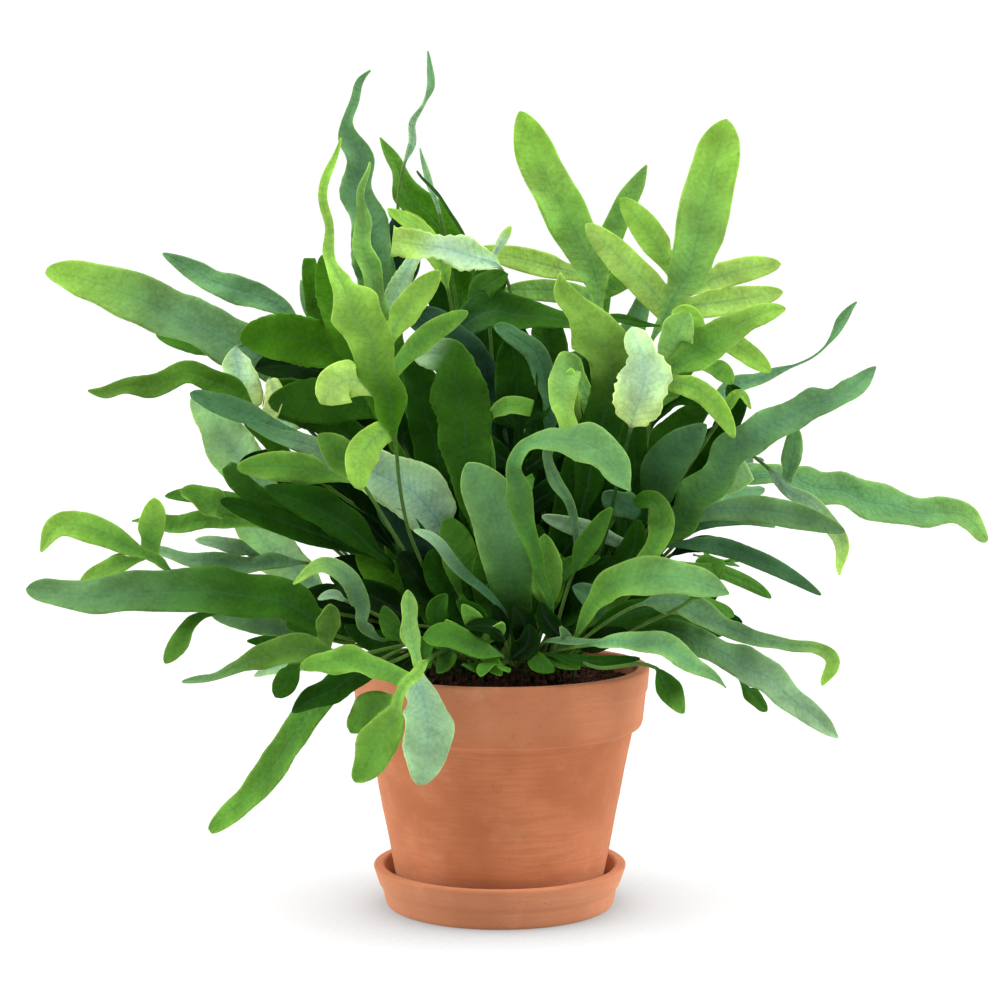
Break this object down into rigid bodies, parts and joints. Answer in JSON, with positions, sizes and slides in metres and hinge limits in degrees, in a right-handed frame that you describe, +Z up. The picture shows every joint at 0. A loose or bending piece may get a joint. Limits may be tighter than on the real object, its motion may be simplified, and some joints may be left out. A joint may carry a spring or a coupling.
{
  "type": "potted blue star fern",
  "caption": "Blue star fern with wavy, lobed fronds growing from creeping rhizomes in a terracotta pot on its saucer; stands freely on a flat surface.",
  "frame": {"origin": "centre of the saucer's flat underside, on the surface it stands on", "axes": "+Z up, +X to the right and -Y towards the viewer, as in the picture"},
  "size_m": [0.6725, 0.4342, 0.5999],
  "materials": {
    "clay": "matte",
    "soil": "matte",
    "rhizome": "matte",
    "leaf_lime": "satin",
    "leaf_bright": "satin",
    "leaf_mid": "satin",
    "leaf_blue": "satin",
    "leaf_dark": "satin",
    "leaf_pale": "satin",
    "leaf_olive": "satin"
  },
  "bodies": {
    "root": {"saucer": "clay", "pot": "clay", "soil": "soil", "rhizome_front": "rhizome", "rhizome_middle": "rhizome", "rhizome_back": "rhizome", "frond_front_left_hanging": "leaf_bright", "frond_left_pale_olive": "leaf_olive", "frond_front_five_lobed": "leaf_lime", "frond_left_big_strap": "leaf_dark", "frond_front_left_dark": "leaf_dark", "frond_left_olive_lobed": "leaf_olive", "frond_left_curling": "leaf_blue", "frond_young_left": "leaf_bright", "frond_centre_grey_strap": "leaf_blue", "frond_young_centre": "leaf_bright", "frond_young_over_rim": "leaf_mid", "frond_centre_arching_mint": "leaf_pale", "frond_front_right_bright": "leaf_bright", "frond_right_drooping_tip": "leaf_mid", "frond_front_right_low": "leaf_bright", "frond_right_big_blue": "leaf_blue", "frond_front_right_hanging": "leaf_dark", "frond_left_lime_lobed": "leaf_lime", "frond_left_grey_straps": "leaf_blue", "frond_left_middle_lobed": "leaf_bright", "frond_left_dark_straps": "leaf_dark", "frond_left_broad_blue": "leaf_blue", "frond_upper_left_dark_lobed": "leaf_dark", "frond_left_wavy": "leaf_olive", "frond_upper_left_lime_lobed": "leaf_lime", "frond_centre_olive": "leaf_olive", "frond_centre_lime_strap": "leaf_bright", "frond_centre_right_pale": "leaf_pale", "frond_middle_dark_strap": "leaf_dark", "frond_right_centre_lobed": "leaf_blue", "frond_right_rising_lobed": "leaf_blue", "frond_right_small_lobed": "leaf_lime", "frond_far_right": "leaf_blue", "frond_right_lime_low": "leaf_lime", "frond_left_upper_long": "leaf_bright", "frond_left_back_lobed": "leaf_blue", "frond_top_left_tall": "leaf_blue", "frond_top_left_lime": "leaf_lime", "frond_top_twisted": "leaf_blue", "frond_top_dark": "leaf_dark", "frond_top_pale_folded": "leaf_pale", "frond_top_middle_lobed": "leaf_lime", "frond_top_behind": "leaf_mid", "frond_top_right_lobed": "leaf_lime", "frond_right_back_thin": "leaf_mid", "frond_centre_round": "leaf_bright", "frond_inner_middle": "leaf_dark", "frond_inner_left": "leaf_dark", "frond_inner_right": "leaf_dark", "frond_back_middle": "leaf_mid", "frond_back_left_low": "leaf_bright", "frond_back_right_low": "leaf_bright", "frond_back_right_high": "leaf_blue", "frond_back_right_side": "leaf_mid"}
  },
  "joints": []
}
